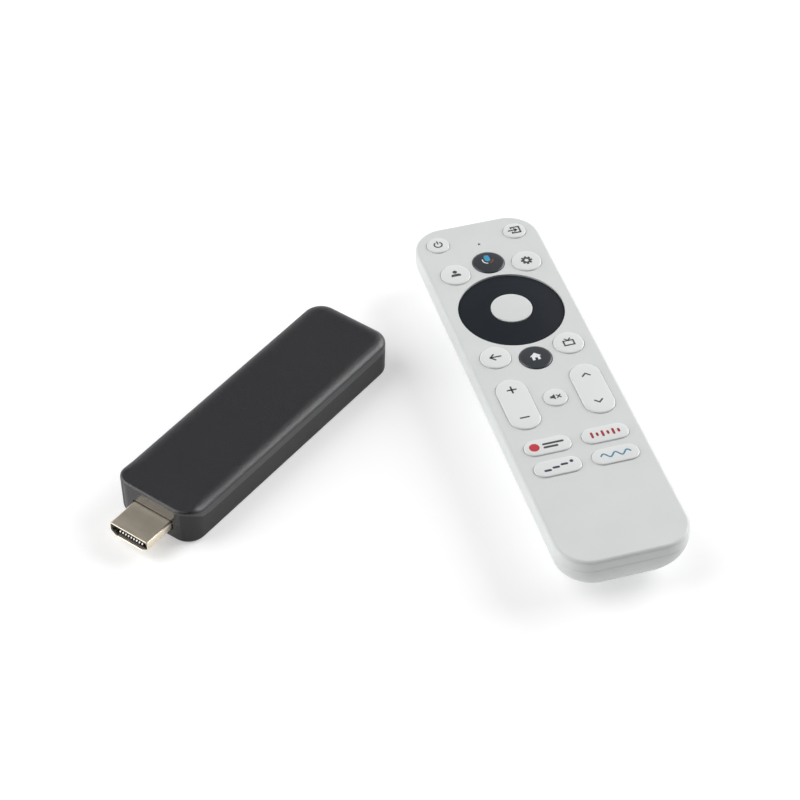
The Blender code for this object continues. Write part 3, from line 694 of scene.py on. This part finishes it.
def belly_rings(wall):
    """Plans from the bottom up to where the walls are upright."""
    return [remote_section(wall, 1 - cosine, BELLY_TOP - (BELLY_TOP - wall) * sine)
            for cosine, sine in reversed(quarter_turn(16))]


def shrunk(point, inset, height):
    """A point of the remote's outline moved towards its middle, at a new height."""
    scale_x = 1 - inset / REMOTE_HALF[0]
    scale_y = 1 - inset / REMOTE_HALF[1]
    return Vector((point.x * scale_x, point.y * scale_y, height))


def belly_body(name):
    """The whole underside as one open tub, walls and all."""
    outer = belly_rings(0.0)
    outer.append(remote_section(0.0, 0.0, REMOTE_PARTING - HAIRLINE))
    outer.append([shrunk(p, HAIRLINE, REMOTE_PARTING) for p in outer[-1]])
    inner = belly_rings(REMOTE_WALL)
    inner.append(remote_section(REMOTE_WALL, 0.0, REMOTE_PARTING))
    return new_piece(name, loft(outer + inner[::-1]), REMOTE_WHITE, REMOTE)


def make_remote_bottom():
    door_front = local_centre("battery_door").y + local_size("battery_door")[1] / 2
    width, length = 60, 160
    cover = belly_body("remote_bottom_cover_fine")
    opening = box_tool((width, length, DOOR_HEIGHT + 2),
                       (0, door_front + DOOR_SEAM - length / 2, DOOR_HEIGHT / 2 - 1), REMOTE)
    cut(cover, [opening])
    install(cover, "remote", "remote_bottom_cover", 0.12)
    door = belly_body("battery_door_fine")
    keep = box_tool((width, length, DOOR_HEIGHT - DOOR_SEAM + 2),
                    (0, door_front - length / 2, (DOOR_HEIGHT - DOOR_SEAM) / 2 - 1), REMOTE)
    cut(door, [keep], "INTERSECT")
    grooves = [box_tool((GROOVE[0], GROOVE[1], 2 * GROOVE[2]),
                        (0, door_front - FIRST_GROOVE - index * GROOVE_PITCH, 0), REMOTE)
               for index in range(GROOVES)]
    cut(door, grooves)
    install(door, "battery_door", "battery_door", 0.12)


def key_radius(node):
    return local_size(node)[0] / 2 - FLANGE_OUT


def long_key_half(node):
    size = local_size(node)
    return (size[0] / 2 - FLANGE_OUT, size[1] / 2 - FLANGE_OUT)


def remote_tool(node, bm):
    """A cutter that stands at a node's centre, in the remote's axes."""
    spot = local_centre(node)
    return new_piece("tool", bm, REMOTE_WHITE, REMOTE, at=(spot.x, spot.y, 0))


def make_remote_top():
    base = REMOTE_PARTING + HAIRLINE
    half = REMOTE_HALF
    inner_half = [value - REMOTE_WALL for value in half]
    inner_corner = REMOTE_CORNER - REMOTE_WALL
    rings = [flat_ring(inner_half, inner_corner, REMOTE_CEILING),
             flat_ring(inner_half, inner_corner, base),
             flat_ring([value - HAIRLINE for value in half], REMOTE_CORNER - HAIRLINE, base),
             flat_ring(half, REMOTE_CORNER, base + HAIRLINE)]
    for cosine, sine in quarter_turn(8):
        inset = REMOTE_TOP_RIM * (1 - cosine)
        height = REMOTE_TOP - REMOTE_TOP_RIM * (1 - sine)
        rings.append(flat_ring([value - inset for value in half], REMOTE_CORNER - inset, height))
    cover = new_piece("remote_top_cover_fine", loft(rings), REMOTE_WHITE, REMOTE)
    low, high = REMOTE_CEILING - 1, REMOTE_TOP + 1
    tools = [remote_tool(node, bore(key_radius(node) + KEY_GAP, low, high))
             for node in ROUND_KEYS]
    ring_radius = local_size("dpad_ring")[0] / 2
    tools.append(remote_tool("dpad_ring", bore(ring_radius + KEY_GAP, low, high)))
    for node in LONG_KEYS:
        half_key = [value + KEY_GAP for value in long_key_half(node)]
        corner = min(half_key) - 0.01
        slot = loft([flat_ring(half_key, corner, low), flat_ring(half_key, corner, high)])
        tools.append(remote_tool(node, slot))
    tools.append(remote_tool("microphone", bore(MICROPHONE_HOLE, low, high, 24)))
    window = local_centre("infrared_window")
    window_size = local_size("infrared_window")
    tools.append(box_tool((window_size[0] + 0.3, 6, window_size[2] + 0.3),
                          (window.x, REMOTE_HALF[1], window.z), REMOTE))
    cut(cover, tools)
    install(cover, "remote", "remote_top_cover", 0.1)


# ---- Keys ----
def key_top(node):
    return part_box(node)[1].z / MM


def key_base(node):
    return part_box(node)[0].z / MM


def crown_points(start, end_x, top, steps):
    """A shallow curve from the top of a key's round edge, level where it ends."""
    start_x, start_z = start
    shares = [step / steps for step in range(1, steps + 1)]
    return [(start_x + (end_x - start_x) * share,
             start_z + (top - start_z) * (1 - (1 - share) ** 2)) for share in shares]


def dome_profile(radius, base, top, edge, crown, flange_height=FLANGE_HEIGHT):
    """A key's profile from its flange up its stem, round its edge and over a slight crown."""
    shoulder = top - crown - edge
    profile = [(radius + FLANGE_OUT, base), (radius + FLANGE_OUT, base + flange_height),
               (radius, base + flange_height), (radius, shoulder)]
    profile += arc((radius - edge, shoulder), edge, 0, EDGE_TURN, 6)[1:]
    return profile + crown_points(profile[-1], 0.0, top, 8)


def key_solid(profile, steps=72):
    """A closed solid from a profile whose last point is on the axis that it turns about."""
    bm = bmesh.new()
    loops = skin(bm, turned(profile[:-1], steps))
    bm.faces.new(reversed(loops[0]))
    tip = bm.verts.new((0, 0, profile[-1][1]))
    for index, vert in enumerate(loops[-1]):
        bm.faces.new((vert, loops[-1][(index + 1) % steps], tip))
    return bm


def add_key(node, bm, material=KEY_WHITE):
    """A key in the remote's axes, which moves on the body named after its node."""
    spot = local_centre(node)
    key = new_piece(node + "_fine", bm, material, REMOTE, at=(spot.x, spot.y, 0))
    install(key, node, node)


def make_round_keys():
    for node in ROUND_KEYS:
        stem = (key_radius(node), key_base(node), key_top(node))
        if node in DARK_KEYS:
            profile = dome_profile(*stem, DARK_KEY_EDGE, crown=0.2)
            add_key(node, key_solid(profile), KEY_DARK)
        else:
            add_key(node, key_solid(dome_profile(*stem, KEY_EDGE, crown=0.12)))


def stadium_rings(half, profile):
    """Rings of a stadium that is wider than the key's stem by each profile point's offset."""
    rings = []
    for offset, height in profile:
        grown = [value + offset for value in half]
        rings.append(flat_ring(grown, min(grown) - 0.02, height, 12))
    return rings


def make_long_keys():
    for node in LONG_KEYS:
        half = long_key_half(node)
        base, top = key_base(node), key_top(node)
        profile = [(FLANGE_OUT, base), (FLANGE_OUT, base + FLANGE_HEIGHT),
                   (0, base + FLANGE_HEIGHT)]
        crown = 0.1
        profile += arc((-KEY_EDGE, top - crown - KEY_EDGE), KEY_EDGE, 0, EDGE_TURN, 6)
        profile += crown_points(profile[-1], -0.85 * min(half), top, 6)
        add_key(node, loft(stadium_rings(half, profile)))


def make_dpad():
    """The direction ring, which slopes down outwards, and the select key in its bore."""
    outer = local_size("dpad_ring")[0] / 2
    low, high = key_base("dpad_ring"), key_top("dpad_ring")
    ok_radius = key_radius("ok_key")
    inner = ok_radius + OK_GAP
    recess = inner + 1.2
    edge_top = high - RING_RISE
    loop = [(recess, low), (outer - 0.1, low), (outer, low + 0.1)]
    loop += arc((outer - 0.3, edge_top - 0.3), 0.3, 0, 85, 5)
    loop += [(inner + 0.3 + (outer - inner - 0.6) * share / 6,
              high - RING_RISE * (share / 6) ** 1.4) for share in range(5, 0, -1)]
    loop += arc((inner + 0.2, high - 0.22), 0.2, 90, 180, 4)
    loop += [(inner, high - RING_LIP), (recess, high - RING_LIP)]
    add_key("dpad_ring", loft_loop(turned(loop, 96)), RING_NAVY)

    stem = [(ok_radius, key_base("ok_key")), (ok_radius, OK_FLANGE_BASE)]
    dome = dome_profile(ok_radius, OK_FLANGE_BASE, key_top("ok_key"), 0.2, crown=0.05,
                        flange_height=0.5)
    add_key("ok_key", key_solid(stem + dome, 96), REMOTE_WHITE)


# ---- Remote's window and cells ----
def make_infrared_window():
    window = new_box("infrared_window_fine", local_size("infrared_window"),
                     local_centre("infrared_window"), INFRARED, REMOTE)
    install(window, "remote", "infrared_window", 0.2)


def laid_along(bm, length, nub_direction):
    """Lay a cell's upright mesh along the remote, its plus end one way or the other."""
    bm.transform(Matrix.Rotation(math.radians(-90 * nub_direction), 4, "X")
                 @ Matrix.Translation((0, 0, -length / 2)))
    return bm


def make_cells():
    """Two AAA cells that lie head to tail: bare metal ends, a copper band, a dark jacket."""
    for node, nub_direction in (("battery_left", 1), ("battery_right", -1)):
        spot = local_centre(node)
        size = local_size(node)
        length, radius = size[1], size[0] / 2
        shoulder = length - 1.0
        profile = [(radius - 1.2, 0), (radius - 0.45, 0.05), (radius - 0.4, 0.3),
                   (radius - 0.15, 0.3), (radius, 0.45), (radius, shoulder - 0.6),
                   (radius - 0.15, shoulder - 0.35), (radius - 0.5, shoulder - 0.3),
                   (radius - 0.7, shoulder), (CELL_NUB, shoulder), (CELL_NUB, length - 0.2),
                   (CELL_NUB - 0.2, length), (0, length)]
        bm = laid_along(key_solid(profile, 64), length, nub_direction)
        cell = new_piece(node + "_fine", bm, CELL_DARK, REMOTE, at=spot)
        cell.data.materials.append(TIN)
        inverse = REMOTE.inverted()
        for face in cell.data.polygons:        # the ends, inside the jacket's rolled edges
            place = (inverse @ face.center) / MM - spot
            along = place.y * nub_direction + length / 2
            across = math.hypot(place.x, place.z)
            if along > shoulder - 0.33 or along < 0.31 or across < radius - 0.4:
                face.material_index = 1
        install(cell, "remote", node)
        make_cell_band(node, spot, radius, length, nub_direction)


def make_cell_band(node, spot, radius, length, nub_direction):
    """The copper-coloured sleeve round the plus end of a cell's jacket."""
    low, high = (length - reach for reach in CELL_BAND)
    loop = [(radius - 0.05, low), (radius + 0.03, low), (radius + 0.03, high),
            (radius - 0.05, high)]
    bm = laid_along(loft_loop(turned(loop, 64)), length, nub_direction)
    band = new_piece(node + "_band", bm, CELL_COPPER, REMOTE, at=spot)
    finish_edges(band)
    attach(band, "remote")


# ---- Icons ----
ICON_SINK = 0.08               # how deep an icon's slab reaches into its key
ICON_PROUD = 0.012
STROKE = 0.48                  # usual width of an icon's lines


def stroke_outline(points, width):
    """The closed outline of an open stroke with round ends, as (x, y) points."""
    points = [Vector(p) for p in points]
    left, right = [], []
    for index, point in enumerate(points):
        before = points[max(index - 1, 0)]
        after = points[min(index + 1, len(points) - 1)]
        incoming = (point - before).normalized() if point != before else None
        outgoing = (after - point).normalized() if after != point else None
        tangent = ((incoming or outgoing) + (outgoing or incoming)).normalized()
        side = Vector((-tangent.y, tangent.x))
        reference = outgoing or incoming
        stretch = 1 / max(side.dot(Vector((-reference.y, reference.x))), 0.5)
        left.append(point + side * width / 2 * stretch)
        right.append(point - side * width / 2 * stretch)

    def cap(centre, start):
        offset = start - centre
        return [centre + Matrix.Rotation(-math.pi * i / 6, 2) @ offset for i in range(1, 6)]

    return left + cap(points[-1], left[-1]) + right[::-1] + cap(points[0], right[0])


def outline_solid(outline, holes):
    """A thin slab of an outline, with the outlines in holes left open."""
    bm = bmesh.new()
    edges = []
    for loop in [outline, *holes]:
        verts = [bm.verts.new((*point[:2], -ICON_SINK)) for point in loop]
        edges += [bm.edges.new((a, b)) for a, b in zip(verts, verts[1:] + verts[:1])]
    bmesh.ops.triangle_fill(bm, edges=edges, use_beauty=True)
    grown = bmesh.ops.extrude_face_region(bm, geom=bm.faces[:])
    raised = [item for item in grown["geom"] if isinstance(item, bmesh.types.BMVert)]
    bmesh.ops.translate(bm, verts=raised, vec=(0, 0, ICON_SINK + ICON_PROUD))
    return bm


def circle(centre, radius, steps=28):
    return arc(centre, radius, 0, 360, steps)[:-1]


def gear_outline(teeth, inner, outer):
    points = []
    for tooth in range(teeth):
        middle = 360 / teeth * tooth
        for radius, offset in ((inner, -18), (outer, -11), (outer, 11), (inner, 18)):
            angle = math.radians(middle + offset)
            points.append((radius * math.cos(angle), radius * math.sin(angle)))
    return points


def closed_stroke(points):
    """A closed line of constant width, as an outline with a hole: mitred at its corners."""
    def offset(distance):
        moved = []
        for index, point in enumerate(points):
            here = Vector(point)
            incoming = (here - Vector(points[index - 1])).normalized()
            outgoing = (Vector(points[(index + 1) % len(points)]) - here).normalized()
            side = Vector((incoming.y + outgoing.y, -incoming.x - outgoing.x)).normalized()
            stretch = 1 / max(side.dot(Vector((outgoing.y, -outgoing.x))), 0.4)
            moved.append(here + side * distance * stretch)
        return moved
    return [(offset(STROKE / 2), (offset(-STROKE / 2),))]


def strokes(*paths, width=STROKE):
    return [(stroke_outline(path, width), ()) for path in paths]


def bar(centre, size):
    """A rounded bar for a key's label."""
    corner = min(size) / 2 - 0.01
    ring = plan_ring((size[0] / 2, size[1] / 2), corner, 5)
    return ([point + Vector(centre) for point, _ in ring], ())


def add_icon(name, node, shapes, ink=INK, offset=(0, 0)):
    """Print shapes, each an outline and its holes, on top of a key."""
    spot = local_centre(node)
    for index, (outline, holes) in enumerate(shapes):
        bm = outline_solid(outline, holes)
        piece = new_piece(f"{name}_icon_{index}", bm, ink, REMOTE,
                          at=(spot.x + offset[0], spot.y + offset[1], key_top(node)))
        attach(piece, node)


def make_icons():
    """The keys' own icons, then plain marks in place of the four app keys' labels."""
    add_icon("power", "power_key",
             strokes([(0, 0.3), (0, 1.55)], arc((0, 0), 1.2, 130, 410, 24), width=0.42))
    add_icon("input", "input_key",
             strokes([(-0.9, 0.85), (-0.9, 1.3), (1.6, 1.3), (1.6, -1.3), (-0.9, -1.3),
                      (-0.9, -0.85)], [(-1.9, 0), (0.55, 0)],
                     [(-0.1, 0.65), (0.6, 0), (-0.1, -0.65)]))
    add_icon("profile", "profile_key",
             [(circle((0, 0.95), 0.68), ()),
              ([(-1.5, -1.05), *arc((-0.9, -0.55), 0.6, 180, 95, 4),
                *arc((0.9, -0.55), 0.6, 85, 0, 4), (1.5, -1.05)], ())])
    add_icon("settings", "settings_key",
             [(gear_outline(8, 1.3, 1.8), (circle((0, 0), 0.62),))])
    add_icon("back", "back_key",
             strokes([(1.6, 0), (-1.5, 0)], [(-0.35, 1.15), (-1.55, 0), (-0.35, -1.15)],
                     width=0.5))
    add_icon("home", "home_key",
             [([(-1.75, 0.15), (0, 1.7), (1.75, 0.15), (1.2, 0.15), (1.2, -1.4), (0.42, -1.4),
                (0.42, -0.4), (-0.42, -0.4), (-0.42, -1.4), (-1.2, -1.4), (-1.2, 0.15)], ())],
             INK_WHITE)
    add_icon("live_tv", "live_tv_key",
             closed_stroke([(-1.5, -1.25), (1.5, -1.25), (1.5, 0.65), (-1.5, 0.65)]))
    add_icon("live_tv_aerial", "live_tv_key",
             strokes([(-0.85, 1.55), (0, 0.75), (0.85, 1.55)], width=0.4))
    add_icon("mute", "mute_key",
             [([(-1.6, 0.42), (-1.05, 0.42), (-0.15, 1.1), (-0.15, -1.1), (-1.05, -0.42),
                (-1.6, -0.42)], ())])
    add_icon("mute_cross", "mute_key",
             strokes([(0.4, 0.55), (1.5, -0.55)], [(0.4, -0.55), (1.5, 0.55)], width=0.38))
    across, upright = [(-1.25, 0), (1.25, 0)], [(0, -1.25), (0, 1.25)]
    add_icon("louder", "volume_rocker", strokes(across, upright, width=0.55), offset=(0, 5.9))
    add_icon("quieter", "volume_rocker", strokes(across, width=0.55), offset=(0, -5.9))
    add_icon("channel_up", "channel_rocker",
             strokes([(-1.15, -0.5), (0, 0.55), (1.15, -0.5)], width=0.5), offset=(0, 5.7))
    add_icon("channel_down", "channel_rocker",
             strokes([(-1.15, 0.5), (0, -0.55), (1.15, 0.5)], width=0.5), offset=(0, -5.7))
    capsule = arc((0, 0.85), 0.85, 0, 180, 12) + arc((0, -0.3), 0.85, 180, 360, 12)
    add_icon("microphone_head", "assistant_key", [(capsule, ())], INK_BLUE, (0, 1.3))
    add_icon("microphone_left", "assistant_key",
             strokes(arc((0, -0.4), 1.6, 165, 255, 10), width=0.34), INK_WHITE, (0, 1.3))
    add_icon("microphone_right", "assistant_key",
             strokes(arc((0, -0.4), 1.6, 285, 350, 8), width=0.34), INK_CORAL, (0, 1.3))
    add_icon("app_1_dot", "app_key_1", [(circle((0, 0), 1.5), ())], INK_RED, (-4.0, 0))
    add_icon("app_1_bars", "app_key_1",
             [bar((1.7, 0.55), (6.4, 0.75)), bar((0.7, -0.75), (4.4, 0.75))])
    heights = {-4.0: 2.4, -2.4: 1.5, -0.8: 2.4, 0.8: 1.5, 2.4: 2.4, 4.0: 1.5}
    add_icon("app_2_bars", "app_key_2",
             [bar((x, 0), (0.75, height)) for x, height in heights.items()], INK_CRIMSON)
    add_icon("app_3_steps", "app_key_3",
             [bar((-3.2, -0.9), (2.2, 0.8)), bar((-0.6, -0.3), (2.2, 0.8)),
              bar((2.0, 0.3), (2.2, 0.8)), (circle((4.3, 0.9), 0.55), ())], INK_NAVY)
    wave = [(-4.4 + 8.8 * i / 48, 0.75 * math.sin(math.tau * 2.5 * i / 48)) for i in range(49)]
    add_icon("app_4_wave", "app_key_4", strokes(wave, width=0.5), INK_TEAL)


# ---- Carried CAD pieces ----
CARRIED = {
    GOLD: ["antenna"],
    BOARD: ["main_board", "remote_board"],
    CHIP: ["processor", "memory_chip", "flash_chip", "power_inductor", "reset_switch",
           "radio_chip"],
    TIN: ["rf_shield", "wifi_module", "clock_crystal", "microphone",
          "radio_crystal", "battery_contact_link", "battery_contact_plus",
          "battery_contact_minus", "battery_spring_left", "battery_spring_right"],
    ALUMINIUM: ["heat_spreader", "board_capacitor"],
    PAD: ["thermal_pad"],
    RUBBER: ["key_mat"],
    CLEAR: ["status_led"],
    INFRARED: ["infrared_led"],
    KEY_DARK: ["dpad_rocker_plate"],
}


def dress_carried_nodes():
    for material, names in CARRIED.items():
        for name in names:
            mesh = frame["nodes"][name].data
            mesh.materials.clear()
            mesh.materials.append(material)


# ---- Floor, lights and camera ----
HORIZON = 0.85                 # the studio's brightness near the floor and overhead
CEILING = 0.18
NEAR_SIDE = 0.1                # how much of it is left behind the camera
FLOOR_GLOW = 0.42
KIT_MIDDLE = Vector((0.03, 0.03, 0.0))


def make_floor():
    surface = Surface("pale_floor", Roughness=0.9, Specular_IOR_Level=0.1,
                      Emission_Strength=FLOOR_GLOW)
    surface.shader.inputs["Emission Color"].default_value = (1, 1, 1, 1)
    surface.colour(surface.noise(4), (0.64, 0.64, 0.64, 1), (0.66, 0.66, 0.66, 1))
    bm = bmesh.new()
    bmesh.ops.create_grid(bm, x_segments=2, y_segments=2, size=3000)
    floor = new_piece("pale_floor", bm, surface.material)


def photo_direction(right, away, up):
    """A direction given as seen from the camera: right, away from it and up."""
    turn = Matrix.Rotation(VIEW_AZIMUTH, 3, "Z")
    return turn @ Vector((right, away, up))


def add_light(name, direction, distance, size, power):
    data = bpy.data.lights.new(name, "AREA")
    data.shape = "RECTANGLE"
    data.size, data.size_y = size
    data.energy = power
    light = link(name, data)
    light.location = KIT_MIDDLE + photo_direction(*direction).normalized() * distance
    light.rotation_euler = (KIT_MIDDLE - light.location).to_track_quat("-Z", "Y").to_euler()


def make_studio_world():
    """A darker ceiling that brightens towards the horizon, less so behind the camera."""
    world = bpy.data.worlds.new("studio")
    world.use_nodes = True
    tree = world.node_tree
    nodes, links = tree.nodes, tree.links
    coords = nodes.new("ShaderNodeTexCoord")
    parts = nodes.new("ShaderNodeSeparateXYZ")
    links.new(coords.outputs["Generated"], parts.inputs["Vector"])
    level = map_range(tree, parts.outputs["Z"], HORIZON, CEILING, start=0.15, end=0.6)
    facing = nodes.new("ShaderNodeVectorMath")
    facing.operation = "DOT_PRODUCT"
    facing.inputs[1].default_value = photo_direction(0, 1, 0)
    links.new(coords.outputs["Generated"], facing.inputs[0])
    share = map_range(tree, facing.outputs["Value"], NEAR_SIDE, 1.0, start=-0.8, end=0.1)
    strength = nodes.new("ShaderNodeMath")
    strength.operation = "MULTIPLY"
    links.new(level, strength.inputs[0])
    links.new(share, strength.inputs[1])
    links.new(strength.outputs["Value"], nodes["Background"].inputs["Strength"])
    nodes["Background"].inputs["Color"].default_value = (1, 1, 1, 1)
    bpy.context.scene.world = world


def light_scene():
    make_studio_world()
    add_light("left_soft", (-1.0, 0.05, 0.85), 1.3, (1.0, 1.7), 15)
    add_light("left_low", (-1, -0.35, 0.25), 1.3, (0.8, 0.4), 4)
    add_light("right_soft", (1, 0.5, 0.56), 1.2, (1.0, 0.9), 16)
    bpy.context.scene.view_settings.view_transform = "Standard"


def add_camera():
    level = math.cos(VIEW_ELEVATION)
    towards = Vector((math.sin(VIEW_AZIMUTH) * level, -math.cos(VIEW_AZIMUTH) * level,
                      math.sin(VIEW_ELEVATION)))
    data = bpy.data.cameras.new("camera")
    data.lens = VIEW_LENS
    data.clip_start = 0.01
    camera = link("camera", data)
    camera.location = VIEW_TARGET + towards * VIEW_DISTANCE
    camera.rotation_euler = (-towards).to_track_quat("-Z", "Y").to_euler()
    bpy.context.scene.camera = camera


make_stick_top()
make_stick_bottom()
make_plug()
make_side_controls()
make_usb_port()
make_remote_bottom()
make_remote_top()
make_round_keys()
make_long_keys()
make_dpad()
make_infrared_window()
make_cells()
make_icons()
dress_carried_nodes()
make_floor()
light_scene()
add_camera()
